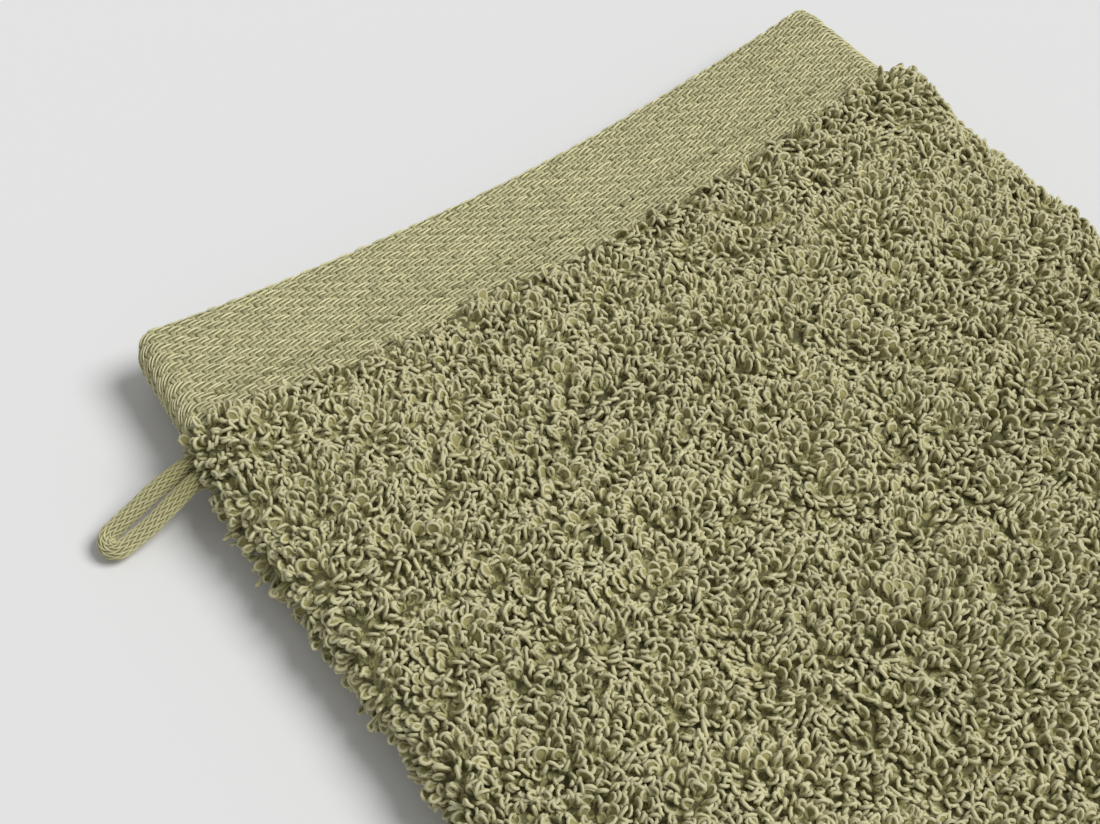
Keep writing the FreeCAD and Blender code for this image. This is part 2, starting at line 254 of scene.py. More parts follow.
# ------------------------------------------------------------------ materials
def yarn_material(name, dark, mid, light, grain=5200.0, bump=0.35, sheen=0.25, rough=0.88, split=(0.0, 0.45, 1.0), curl=0.0):
    """Cotton yarn: the attribute's first channel is the yarn's own tone, its second how deep the point lies, which the
    ramp turns into painted shade, darker the deeper it lies.
    """
    m = bpy.data.materials.new(name)
    m.use_nodes = True
    nt = m.node_tree
    nt.nodes.clear()
    N = nt.nodes.new
    L = nt.links.new
    out = N("ShaderNodeOutputMaterial")
    p = N("ShaderNodeBsdfPrincipled")
    L(p.outputs[0], out.inputs[0])
    at = N("ShaderNodeAttribute")
    at.attribute_name = "pile"
    sep = N("ShaderNodeSeparateColor")
    L(at.outputs["Color"], sep.inputs[0])
    tc = N("ShaderNodeTexCoord")
    # blotchy dye, then the fine fibre
    n1 = N("ShaderNodeTexNoise")
    n1.inputs["Scale"].default_value = 90.0
    n1.inputs["Detail"].default_value = 3.0
    L(tc.outputs["Object"], n1.inputs["Vector"])
    n2 = N("ShaderNodeTexNoise")
    n2.inputs["Scale"].default_value = grain
    n2.inputs["Detail"].default_value = 2.0
    n2.inputs["Roughness"].default_value = 0.6
    L(tc.outputs["Object"], n2.inputs["Vector"])
    # painted shade: dark at the deep end of the ramp, light at the top
    ramp = N("ShaderNodeValToRGB")
    e = ramp.color_ramp.elements
    e[0].position, e[0].color = split[0], (*dark, 1)
    e[1].position, e[1].color = split[2], (*light, 1)
    mide = ramp.color_ramp.elements.new(split[1])
    mide.color = (*mid, 1)
    L(sep.outputs[1], ramp.inputs[0])
    # tone: 0.5 is neutral
    hsv = N("ShaderNodeHueSaturation")
    L(ramp.outputs[0], hsv.inputs["Color"])
    add = N("ShaderNodeMath")
    add.operation = "MULTIPLY_ADD"
    L(sep.outputs[0], add.inputs[0])
    add.inputs[1].default_value = 0.34
    add.inputs[2].default_value = 0.83 - 0.17
    addn = N("ShaderNodeMath")
    addn.operation = "MULTIPLY_ADD"
    L(n1.outputs["Fac"], addn.inputs[0])
    addn.inputs[1].default_value = 0.16
    L(add.outputs[0], addn.inputs[2])
    addf = N("ShaderNodeMath")
    addf.operation = "MULTIPLY_ADD"
    L(n2.outputs["Fac"], addf.inputs[0])
    addf.inputs[1].default_value = 0.18
    L(addn.outputs[0], addf.inputs[2])
    # the fibres in the eye of a loop lie back in its shade
    eye = N("ShaderNodeMath")
    eye.operation = "MULTIPLY_ADD"
    L(sep.outputs[2], eye.inputs[0])
    eye.inputs[1].default_value = -0.20
    eye.inputs[2].default_value = 1.0
    dim = N("ShaderNodeMath")
    dim.operation = "MULTIPLY"
    L(addf.outputs[0], dim.inputs[0])
    L(eye.outputs[0], dim.inputs[1])
    L(dim.outputs[0], hsv.inputs["Value"])
    L(hsv.outputs[0], p.inputs["Base Color"])
    b = N("ShaderNodeBump")
    b.inputs["Strength"].default_value = bump
    b.inputs["Distance"].default_value = 0.00012
    L(n2.outputs["Fac"], b.inputs["Height"])
    L(b.outputs[0], p.inputs["Normal"])
    r = N("ShaderNodeMapRange")
    L(n2.outputs["Fac"], r.inputs["Value"])
    r.inputs["To Min"].default_value = rough - 0.08
    r.inputs["To Max"].default_value = min(1.0, rough + 0.08)
    L(r.outputs[0], p.inputs["Roughness"])
    p.inputs["Sheen Weight"].default_value = sheen
    p.inputs["Sheen Roughness"].default_value = 0.45
    p.inputs["Sheen Tint"].default_value = (*light, 1)
    p.inputs["Specular IOR Level"].default_value = 0.25
    if curl:
        # the short curls deep in the pile, seen between the loops
        vo = N("ShaderNodeTexVoronoi")
        vo.inputs["Scale"].default_value = curl
        warp = N("ShaderNodeVectorMath")
        warp.operation = "MULTIPLY_ADD"
        n3 = N("ShaderNodeTexNoise")
        n3.inputs["Scale"].default_value = curl * 0.8
        L(tc.outputs["Object"], n3.inputs["Vector"])
        L(n3.outputs["Color"], warp.inputs[0])
        warp.inputs[1].default_value = (0.0009, 0.0009, 0.0009)
        L(tc.outputs["Object"], warp.inputs[2])
        L(warp.outputs[0], vo.inputs["Vector"])
        ring = N("ShaderNodeValToRGB")
        g = ring.color_ramp.elements
        g[0].position, g[0].color = 0.0, (0.55, 0.55, 0.55, 1)
        g[1].position, g[1].color = 0.85, (0.28, 0.28, 0.28, 1)
        for at_, val in ((0.22, 0.62), (0.36, 1.0), (0.50, 0.85), (0.62, 0.40)):
            k = g.new(at_)
            k.color = (val, val, val, 1)
        L(vo.outputs["Distance"], ring.inputs[0])
        mul = N("ShaderNodeMix")
        mul.data_type = "RGBA"
        mul.blend_type = "MULTIPLY"
        mul.inputs["Factor"].default_value = 1.0
        L(hsv.outputs[0], mul.inputs["A"])
        L(ring.outputs[0], mul.inputs["B"])
        L(mul.outputs["Result"], p.inputs["Base Color"])
        b2 = N("ShaderNodeBump")
        b2.inputs["Strength"].default_value = 0.9
        b2.inputs["Distance"].default_value = 0.0006
        L(ring.outputs[0], b2.inputs["Height"])
        L(b.outputs[0], b2.inputs["Normal"])
        L(b2.outputs[0], p.inputs["Normal"])
    return m


# pile colours from the loops' roots to their tops: the dark end is painted shade at the roots
C_DARK = (0.39, 0.36, 0.135)
C_MID = (0.54, 0.51, 0.275)
C_LIGHT = (0.605, 0.575, 0.355)
mat_pile = yarn_material("terry_pile", C_DARK, C_MID, C_LIGHT, sheen=0.42)
mat_ground = yarn_material("terry_ground", (0.37, 0.345, 0.145), (0.44, 0.415, 0.19), (0.51, 0.48, 0.235), bump=0.5, sheen=0.05, curl=640.0)
mat_weave = yarn_material("twill_band", (0.22, 0.205, 0.09), (0.50, 0.475, 0.265), (0.68, 0.65, 0.40))
# the woven ground under the floats is darker than their yarn: painted shade in the gaps between them; the seam
# allowances use it too
mat_weave_ground = yarn_material("twill_ground", (0.22, 0.205, 0.09), (0.26, 0.245, 0.115), (0.33, 0.31, 0.16), bump=0.6)
mat_cord = yarn_material("loop_cord", (0.16, 0.15, 0.055), (0.42, 0.395, 0.20), (0.60, 0.57, 0.335))
mat_thread = yarn_material("sewing_thread", (0.12, 0.115, 0.045), (0.24, 0.225, 0.11), (0.4, 0.38, 0.21))


# ------------------------------------------------------------------ the two surfaces
def smooth(t):
    t = np.clip(t, 0, 1)
    return t * t * (3 - 2 * t)


def bow_y(x, side_y):
    return side_y + BOW * (1 - (x / HALF_C) ** 2)


def mouth_shift(x):
    """The mouth's edge is not quite square: how far it lies in from the drawn line."""
    return 1.0 * smooth((x + 65.0) / 70.0) + 0.7 * smooth((x - 15.0) / 62.0)


def drop(x, y, side):
    """How far the band sinks towards the open mouth: in its middle, and more on the loop's side, down to the surface.
    The lower layer stops at the surface it lies on. The pile next to the band follows a little."""
    t = np.clip((bow_y(x, BORDER_Y) + 4.0 - y) / 30.0, 0, 1)
    t = t * t * (3 - 2 * t)
    s = 2.3 * np.clip(1 - (x / 76.0) ** 2, 0, 1)
    d = s + 0.3 * smooth((x + 50.0) / 75.0)
    return t * (d if side > 0 else np.minimum(d, 3.45))


def waist(x, y):
    """The pile's sides are not straight: they stand out beside the border and run in further back."""
    t = np.clip(np.abs(x) / G_HALF, 0, 1) ** 3
    g = np.where(
        x > 0,
        0.3 + 1.1 * np.exp(-(((y + 62.0) / 14.0) ** 2)) - 0.5 * smooth((y + 20.0) / 40.0),
        0.5 + 2.4 * np.exp(-(((y + 79.0) / 9.0) ** 2)) - 1.6 * smooth((y + 50.0) / 36.0),
    )
    return x + np.sign(x) * t * g


BIG = value_noise(11)
MEDIUM = value_noise(12)


def hem(u, s, o, side):
    """Hem band. u runs round half its section (0 in the middle of the face), s from the inside of the pocket (below 0)
    over the fold at the mouth (0) to the pile's border (26), and o stands off the cloth. side is 1 on top, -1 below."""
    u, s, o = np.broadcast_arrays(np.asarray(u, float), np.asarray(s, float), np.asarray(o, float))
    r = 1.1
    q = np.pi * r / 2
    a = np.clip(s / r, -np.pi / 2, np.pi / 2)
    eta = np.where(np.abs(s) <= q, r - r * np.cos(a), r + np.abs(s) - q) - np.cos(a) * o
    zeta = -r + (r + o) * np.sin(a)
    R = 4.6
    flat = 75.4
    au = np.abs(u)
    al = np.clip((au - flat) / R, 0, 1.75)
    x = np.where(au <= flat, au, flat + (R + zeta) * np.sin(al)) * np.sign(u)
    z = np.where(au <= flat, 0.1 + R + zeta, 0.1 + (R + zeta) * np.cos(al))
    xs = np.clip(np.abs(np.where(au <= flat, u, flat + R * np.sin(al))), 0, HALF_C)
    corner = 4.5 - np.sqrt(np.clip(20.25 - np.clip(xs - (HALF_C - 4.5), 0, 4.5) ** 2, 0, None))
    y = MOUTH_Y + BOW * (1 - (xs / HALF_C) ** 2) + corner * np.where(u > 0, 1.0, 1.25) + mouth_shift(x) + eta
    x = x + np.where(u > 0, -0.1 + 1.3 * np.clip(np.abs(s) / 26.0, 0, 1), 0.0) * np.clip((xs - 55.0) / 25.0, 0, 1)
    wav = 0.22 * BIG(x / 17.0, y / 14.0 + 5 * side) * np.clip((75.0 - np.abs(x)) / 10.0, 0, 1)
    zz = MID + side * (z + wav * (zeta > -1.1)) - drop(x, y, side)
    return np.stack([x, y, zz], -1)


def panel(u, v, o, side):
    """Ground cloth of a panel. u in mm from the middle round the side to the middle plane, v in mm from the border to
    the closed end's middle plane, o off the cloth."""
    u, v, o = np.broadcast_arrays(np.asarray(u, float), np.asarray(v, float), np.asarray(o, float))
    q = np.pi / 2 * (G_EDGE + G_TOP) / 2          # length of a rounded side
    flat_v = END_Y - PILE + 0.35 - G_EDGE - BORDER_Y - BOW
    lv = v - flat_v                               # past the start of the rounded end
    be = np.clip(lv / q, 0, 1) * (np.pi / 2)
    y_in = np.where(lv > 0, G_EDGE * np.sin(be), lv)      # from the start of the rounding
    # corners in plan: the half width shrinks over the last stretch
    far = np.clip(y_in + (G_CORNER - G_EDGE), 0, G_CORNER)
    shrink = G_CORNER - np.sqrt(np.clip(G_CORNER**2 - far**2, 0, None))
    half = G_HALF - shrink
    # u is scaled so that a whole row fits the narrower rows too
    full = (G_HALF - G_EDGE) + q
    here = (half - G_EDGE) + q
    uu = u * here / full
    au = np.abs(uu)
    fl = half - G_EDGE
    al = np.clip((au - fl) / q, 0, 1.0) * (np.pi / 2)
    ce = np.cos(be)
    x = np.where(au <= fl, au, fl + (G_EDGE) * np.sin(al)) * np.sign(uu)
    # near the sides of the rounded end both roundings meet
    z = G_TOP * np.where(au <= fl, 1.0, np.cos(al)) * ce
    nx = np.where(au <= fl, 0.0, np.sin(al)) * np.sign(uu) * np.maximum(ce, 0.2)
    nz = np.where(au <= fl, 1.0, np.cos(al)) * ce
    ny = np.sin(be)
    nn = unit(np.stack([nx, ny, nz], -1))
    row0 = bow_y(np.clip(x, -HALF_C, HALF_C), BORDER_Y)
    t = np.clip(v / 60.0, 0, 1)
    y = (BORDER_Y + BOW) + v + (row0 - (BORDER_Y + BOW)) * (1 - t) ** 1.3
    y = np.where(lv > 0, (BORDER_Y + BOW) + flat_v + y_in, y)
    top = np.clip((z - 2.0) / 3.0, 0, 1)
    wave = 0.55 * BIG(x / 31.0 + 3 * side, y / 27.0) + 0.32 * MEDIUM(x / 11.0, y / 12.0 + 9 * side)
    lift = np.where(side > 0, wave, 0.25 * wave) * top
    low = 0.7 * np.clip(1 - (x / 70.0) ** 2, 0, 1) * top * (side > 0)
    start = 0.5 * np.clip(1 - v / 3.0, 0, 1) * top
    roll = (side > 0) * np.where(x > 0, 3.2, 1.2) * smooth((np.abs(x) - 48.0) / 30.0) ** 1.3 * smooth(z / 3.0) * smooth((v - 4.0) / 24.0)
    pos = np.stack([x, y, z + lift - low - start - roll], -1) + nn * o[..., None]
    pos[..., 2] = MID + side * pos[..., 2] - drop(x, y, side)
    pos[..., 0] = waist(pos[..., 0], y)
    return pos


def frame_of(fn, a, b, o, side, h=0.05):
    """Position, outward normal and the two surface directions."""
    p = fn(a, b, o, side)
    ta = unit(fn(a + h, b, o, side) - fn(a - h, b, o, side))
    tb = unit(fn(a, b + h, o, side) - fn(a, b - h, o, side))
    n = unit(np.cross(ta, tb)) * side
    return p, n, ta, tb


# ------------------------------------------------------------------ hanging loop
# the cord's route, in mm: out along one leg, round the tip and back
ROUTE = [
    (83.80, -80.40, 8.50),
    (88.82, -80.15, 7.50),
    (93.90, -79.95, 5.00),
    (97.70, -79.75, 3.50),
    (99.88, -79.50, 2.75),
    (100.86, -78.21, 2.35),
    (100.60, -76.53, 2.30),
    (99.25, -75.56, 2.60),
    (97.05, -75.75, 3.20),
    (93.31, -75.65, 4.50),
    (88.30, -76.00, 7.20),
    (83.80, -76.70, 8.50),
]
# the same cord's two ends, caught in the side seam
TAIL_A = [(75.60, -79.60, 8.50), (79.60, -80.10, 8.50), (83.80, -80.40, 8.50)]
TAIL_B = [(83.80, -76.70, 8.50), (79.60, -77.30, 8.50), (75.60, -78.00, 8.50)]


def spline_points(points_mm, resolution=24):
    cu = bpy.data.curves.new("cord_route", "CURVE")
    cu.dimensions = "3D"
    sp = cu.splines.new("NURBS")
    sp.points.add(len(points_mm) - 1)
    for p, c in zip(sp.points, points_mm):
        p.co = (c[0] * MM, c[1] * MM, c[2] * MM, 1.0)
    sp.order_u = 3
    sp.use_endpoint_u = True
    cu.resolution_u = resolution
    ob = bpy.data.objects.new("cord_route", cu)
    scene.collection.objects.link(ob)
    bpy.context.view_layer.update()
    me = bpy.data.meshes.new_from_object(ob.evaluated_get(bpy.context.evaluated_depsgraph_get()))
    pts = np.array([v.co for v in me.vertices], float)
    bpy.data.objects.remove(ob)
    bpy.data.curves.remove(cu)
    bpy.data.meshes.remove(me)
    return pts / MM


def lengths(points):
    return np.concatenate([[0], np.cumsum(np.linalg.norm(np.diff(points, axis=0), axis=1))])


tail_a, cord_line, tail_b = spline_points(TAIL_A, 16), spline_points(ROUTE, 14), spline_points(TAIL_B, 16)
whole = np.concatenate([tail_a[:-1], cord_line, tail_b[1:]])
cut_a, cut_b = len(tail_a) - 1, len(tail_a) - 1 + len(cord_line) - 1


def braid(points, cuts, names, material):
    """A braided round cord along the points: a core, and strands that go two over and two under each other.
    It is cut into one mesh for each stretch between the cuts, and the strands run on across the cuts."""
    along = lengths(points)
    n = len(points)
    tan = np.empty_like(points)
    tan[1:-1] = points[2:] - points[:-2]
    tan[0], tan[-1] = points[1] - points[0], points[-1] - points[-2]
    tan = unit(tan)
    # frames carried along without twist
    e1 = np.zeros_like(points)
    ref = np.array([0.0, 0.0, 1.0])
    e1[0] = unit((ref - tan[0] * (ref @ tan[0]))[None])[0]
    for i in range(1, n):
        v = e1[i - 1] - tan[i] * (e1[i - 1] @ tan[i])
        e1[i] = v / np.linalg.norm(v)
    e2 = np.cross(tan, e1)
    seam = np.minimum(np.abs(along - along[cuts[0]]), np.abs(along - along[cuts[1]]))
    inside = (np.arange(n) < cuts[0]) | (np.arange(n) > cuts[1])
    # painted shade darkens the cord where it leaves the seam, and the cord is pressed together there
    root_shade = np.where(inside, 0.45, 0.45 + 0.55 * smooth((seam - 0.5) / 8.5))
    squeeze = np.where(inside, 1 - 0.10 * np.clip(seam / 3.0, 0, 1), 1.0)
    rings = []          # centre, two radii, two axes, sides, data
    core_r = 1.36 * squeeze
    # the core gets a low depth: painted shade where it shows between the strands
    rings.append((points, core_r, core_r, e1, e2, 16, np.stack([np.full(n, 0.5), np.full(n, 0.10), np.zeros(n)], -1)))
    strands = 18
    pitch = 33.0
    D = pitch / (2 * strands)
    for hand in (1, -1):
        for k in range(strands):
            ph = 2 * np.pi * k / strands + (0.0 if hand > 0 else np.pi / strands)
            ang = ph + hand * 2 * np.pi * along / pitch
            w = hand * np.cos(np.pi / 2 * (2 * k + hand * (along / D - 0.5) - 0.5))
            rad = 1.44 + 0.08 * w
            out = e1 * np.cos(ang)[:, None] + e2 * np.sin(ang)[:, None]
            c = points + out * (rad * squeeze)[:, None]
            t = np.empty_like(c)
            t[1:-1] = c[2:] - c[:-2]
            t[0], t[-1] = c[1] - c[0], c[-1] - c[-2]
            t = unit(t)
            f2 = unit(out - t * (out * t).sum(-1, keepdims=True))
            f1 = np.cross(f2, t)
            # painted shade: a strand is darker where it dives under the others, and near the seam
            depth = (0.50 + 0.48 * w) * root_shade
            tone = np.clip(np.full(n, 0.5 + 0.12 * rng.normal()), 0, 1)
            rings.append((c, 0.185 * squeeze, 0.14 * squeeze, f1, f2, 6, np.stack([tone, depth, np.zeros(n)], -1)))
    made = []
    bounds = [0, cuts[0], cuts[1], n - 1]
    for part, name in enumerate(names):
        lo, hi = bounds[part], bounds[part + 1] + 1
        verts, quads, data, count = [], [], [], 0
        for c, r1, r2, f1, f2, sides, d in rings:
            c, r1, r2, f1, f2, d = c[lo:hi], r1[lo:hi], r2[lo:hi], f1[lo:hi], f2[lo:hi], d[lo:hi]
            k = len(c)
            a = np.arange(sides) * 2 * np.pi / sides
            ring = c[:, None] + f1[:, None] * (np.cos(a)[None, :, None] * r1[:, None, None]) + f2[:, None] * (
                np.sin(a)[None, :, None] * r2[:, None, None]
            )
            i, j = np.meshgrid(np.arange(k - 1), np.arange(sides), indexing="ij")
            jn = (j + 1) % sides
            quads.append(np.stack([i * sides + j, i * sides + jn, (i + 1) * sides + jn, (i + 1) * sides + j], -1).reshape(-1, 4) + count)
            verts.append(ring.reshape(-1, 3))
            data.append(np.repeat(d, sides, axis=0))
            count += k * sides
        made.append(make_mesh(name, np.concatenate(verts), np.concatenate(quads), material, np.concatenate(data)))
    return made


tail_1, loop_cord, tail_2 = braid(
    whole, (cut_a, cut_b), ("hanging_loop_tail_1", "hanging_loop_cord", "hanging_loop_tail_2"), mat_cord
)
tails = [tail_1, tail_2]

# ------------------------------------------------------------------ terry pile
LEAN_A = value_noise(31)
LEAN_B = value_noise(32)
LEAN_C = value_noise(33)
TONE_N = value_noise(34)
PHI_N = value_noise(35)
TWIST_N = value_noise(36)


def pile_points(side, step_u=1.40, step_v=1.52, v_from=0.7, v_to=None):
    q = np.pi / 2 * (G_EDGE + G_TOP) / 2
    full = (G_HALF - G_EDGE) + q
    flat_v = END_Y - PILE + 0.35 - G_EDGE - BORDER_Y - BOW
    v_end = flat_v + q if v_to is None else v_to
    nu = int(round(2 * full / step_u))
    nv = int(round((v_end - v_from) / step_v))
    iu, iv = np.meshgrid(np.arange(nu), np.arange(nv))
    iu, iv = iu.ravel(), iv.ravel()
    ju = rng.uniform(-0.42, 0.42, len(iu))
    jv = rng.uniform(-0.42, 0.42, len(iu))
    u = -full + (iu + 0.5 + 0.5 * (iv % 2) - 0.25 + ju) * (2 * full / nu)
    v = v_from + (iv + 0.5 + jv) * ((v_end - v_from) / nv)
    u = np.clip(u, -full + 0.05, full - 0.05)
    # thin out where the grid is squeezed, at the corners
    h = 0.4
    du = np.linalg.norm(panel(u + h, v, 0.0, side) - panel(u - h, v, 0.0, side), axis=-1) / (2 * h)
    dv = np.linalg.norm(panel(u, v + h, 0.0, side) - panel(u, v - h, 0.0, side), axis=-1) / (2 * h)
    keep = rng.random(len(u)) < np.clip(du * dv * 1.08, 0, 1)
    return u[keep], v[keep]


def pile_loops(u, v, side, height=PILE, inner=False):
    """Centre lines and sections of the pile loops that stand on a panel at u, v. A loop is two legs that stand close
    together and a rounded head; its spine bends over in the direction in which the pile leans there."""
    n = len(u)
    p, nrm, ta, tb = frame_of(panel, u, v, 0.0, side)
    if inner:
        nrm = -nrm
        p = panel(u, v, -1.15, side)
    tb = unit(tb - nrm * (tb * nrm).sum(-1, keepdims=True))
    ta = np.cross(tb, nrm)
    # the cloth's own hills: loops lean together in patches and part between them
    e = 0.35
    s = side * 50.0

    def hill(a, b):
        return 1.25 * LEAN_A(a / 5.2 + s, b / 5.8) + 0.8 * LEAN_B(a / 2.6, b / 2.8 + s) + 2.2 * LEAN_C(a / 17.0 + s, b / 15.0)

    gu = (hill(u + e, v) - hill(u - e, v)) / (2 * e)
    gv = (hill(u, v + e) - hill(u, v - e)) / (2 * e)
    lu = -1.55 * gu + rng.normal(0, 0.27, n)
    lv = -1.55 * gv + rng.normal(0, 0.27, n)
    # at the border the first rows fall over the hem band
    lv = lv - 0.30 * np.clip(1 - v / 4.0, 0, 1)
    bend = np.clip(np.sqrt(lu**2 + lv**2) + 0.25, 0.30, 1.9)
    dirl = unit(ta * lu[:, None] + tb * lv[:, None])
    perp = np.cross(nrm, dirl)
    H = height * np.clip(rng.normal(1.0, 0.12, n) + 0.05 * hill(u, v), 0.66, 1.40)
    H = np.where(rng.random(n) < 0.03, H * 1.2, H)
    rho = np.clip(rng.normal(0.70, 0.17, n), 0.40, 1.15)
    tallness = np.clip(rng.normal(1.12, 0.18, n), 0.8, 1.6)
    face = rng.random(n) < 0.72
    psi = np.where(face, np.pi / 2 + 0.8 * PHI_N(u / 4.0 + s, v / 4.2) + rng.normal(0, 0.27, n), 1.8 * PHI_N(u / 4.6 + s, v / 4.8) + rng.normal(0, 0.35, n))
    twist = 1.3 * TWIST_N(u / 4.4, v / 4.6 + s) + rng.normal(0, 0.38, n)
    th = np.radians([28.0, 66.0, 104.0, 142.0, 180.0, 218.0, 256.0, 294.0, 332.0])
    k = 11
    w = np.zeros((n, k))
    h = np.zeros((n, k))
    w[:, 0], w[:, -1] = -0.16, 0.16
    w[:, 1:-1] = -rho[:, None] * np.sin(th)[None]
    rv = np.minimum(rho * tallness, H * 0.43)
    h[:, 1:-1] = (H - rv)[:, None] - rv[:, None] * np.cos(th)[None]
    S = h / H[:, None]
    beta = bend[:, None] * S
    x = H[:, None] / bend[:, None] * (1 - np.cos(beta))
    z = H[:, None] / bend[:, None] * np.sin(beta)
    cb, sb = np.cos(beta)[..., None], np.sin(beta)[..., None]
    T = nrm[:, None] * cb + dirl[:, None] * sb
    Nb = -nrm[:, None] * sb + dirl[:, None] * cb
    ang = (psi[:, None] + twist[:, None] * (S - 0.7))[..., None]
    W = Nb * np.cos(ang) + perp[:, None] * np.sin(ang)
    c = p[:, None] + dirl[:, None] * x[..., None] + nrm[:, None] * z[..., None] + W * w[..., None]
    # a little kink, so that no two loops are the same
    kink = rng.normal(0, 0.11, (n, 3, 3))
    tt = np.linspace(0, 2 * np.pi, k)
    ph3 = np.stack([np.sin(tt), np.sin(2 * tt), 1 - np.cos(tt)], 0)
    c = c + np.einsum("nab,ak->nkb", kink, ph3)
    t = np.empty_like(c)
    t[:, 1:-1] = c[:, 2:] - c[:, :-2]
    t[:, 0] = c[:, 1] - c[:, 0]
    t[:, -1] = c[:, -1] - c[:, -2]
    t = unit(t)
    F = np.cross(T, W)
    e1 = unit(F - t * (F * t).sum(-1, keepdims=True))
    e2 = np.cross(t, e1)
    r = 0.312 * np.clip(rng.normal(1, 0.08, n), 0.8, 1.25)[:, None] * (0.92 + 0.10 * S)
    tone = 0.5 + 0.15 * rng.normal(size=n) + 0.10 * TONE_N(u / 9.0 + s, v / 9.0)
    # the second channel, how far up the loop a point lies, gives painted shade at the roots in the material
    d = np.stack([np.repeat(np.clip(tone, 0, 1)[:, None], k, 1), S, np.zeros((n, k))], -1)
    if side < 0 and not inner:
        # the weight of the mitt presses the lower pile flat
        c[..., 2] = np.where(c[..., 2] < 0.36, 0.36 + (c[..., 2] - 0.36) * 0.02, c[..., 2])
    return c, e1, e2, r, d


pieces = {"front": [], "back": []}


def build_pile(side, word, parts, step_u, step_v, fill):
    u, v = pile_points(side, step_u, step_v)
    if side > 0:
        # in the middle of the border the first rows are a little further back
        keep = v > 0.7 + 1.9 * smooth((74.0 - np.abs(u - 12.0)) / 40.0)
        u, v = u[keep], v[keep]
    order = np.argsort(v, kind="stable")
    u, v = u[order], v[order]
    chunks = np.array_split(np.arange(len(u)), parts)
    c, e1, e2, r, d = pile_loops(u, v, side)
    for i, ch in enumerate(chunks):
        web = 0.20 * np.sign(rng.random(len(ch)) - 0.35) * np.clip(rng.normal(1, 0.5, len(ch)), 0.2, 2.0) if fill else None
        ob = tubes(f"{word}_pile_{i + 1}", c[ch], e1[ch], e2[ch], r[ch], r[ch], mat_pile, d[ch], web=web)
        pieces[word].append(ob)
    return len(u)


n_front = build_pile(1, "front", 12, 1.18, 1.25, True)
n_back = build_pile(-1, "back", 8, 1.48, 1.58, True)
print("pile loops", n_front, n_back)


FOOT = 1.35
FOOT_N = value_noise(51)


def ground_cloth(side, word):
    q = np.pi / 2 * (G_EDGE + G_TOP) / 2
    full = (G_HALF - G_EDGE) + q
    flat_v = END_Y - PILE + 0.35 - G_EDGE - BORDER_Y - BOW
    us = np.linspace(-full, full, 205)
    vs = np.concatenate([np.linspace(-1.2, flat_v, 205), flat_v + q * np.linspace(0.08, 1, 12)])
    U, V_ = np.meshgrid(us, vs)
    # the outer face lies among the short curls at the foot of the pile, not down at the woven ground
    foot = FOOT * smooth((V_ - 0.3) / 3.5) * (1 - 0.8 * smooth((np.abs(U) - full + 3.0) / 3.0)) * (1 - 0.8 * smooth((V_ - flat_v - q + 3.0) / 3.0))
    lump = 0.42 * FOOT_N(U / 1.15 + 40 * side, V_ / 1.15) * foot / FOOT
    outer = panel(U, V_, foot + lump, side)
    inner = panel(U, V_, -1.1, side)
    if side > 0:
        outer[..., 2] = np.maximum(outer[..., 2], MID + 0.03)
        inner[..., 2] = np.maximum(inner[..., 2], MID + 0.03)
    else:
        outer[..., 2] = np.minimum(outer[..., 2], MID - 0.03)
        inner[..., 2] = np.minimum(inner[..., 2], MID - 0.03)
        outer, inner = outer[:, ::-1], inner[:, ::-1]
    return closed_cloth(f"{word}_terry_cloth", outer, inner, mat_ground, 0.5)


front_cloth = ground_cloth(1, "front")
back_cloth = ground_cloth(-1, "back")

# pile on the inside of the pocket, as far in as the mouth lets the eye reach
inner_objs = []
for side, word in ((1, "front"), (-1, "back")):
    u, v = pile_points(side, 1.7, 1.9, 2.0, 46.0)
    far = np.abs(u) < 70.0
    u, v = u[far], v[far]
    c, e1, e2, r, d = pile_loops(u, v, side, 1.5, inner=True)
    inner_objs.append(tubes(f"{word}_pile_inside", c, e1, e2, r, r, mat_pile, d, web=rng.normal(0, 0.1, len(u))))
    pieces[word].append(inner_objs[-1])

# ------------------------------------------------------------------ hem bands
P_W = 0.945    # warp pitch
Q_W = 0.667    # weft pitch
STITCH_S = 26.0 - 5.2
STITCH_P = 2.9


def stitch_dip(u, s):
    """How far the sewn row pulls the cloth down."""
    row = np.exp(-(((s - STITCH_S) / 0.55) ** 2))
    near = np.abs(((u + 0.5 * STITCH_P) % STITCH_P) - 0.5 * STITCH_P)
    hole = np.exp(-((near / 0.42) ** 2))
    return row * (0.10 + 0.42 * hole) * (np.abs(u) < 74)


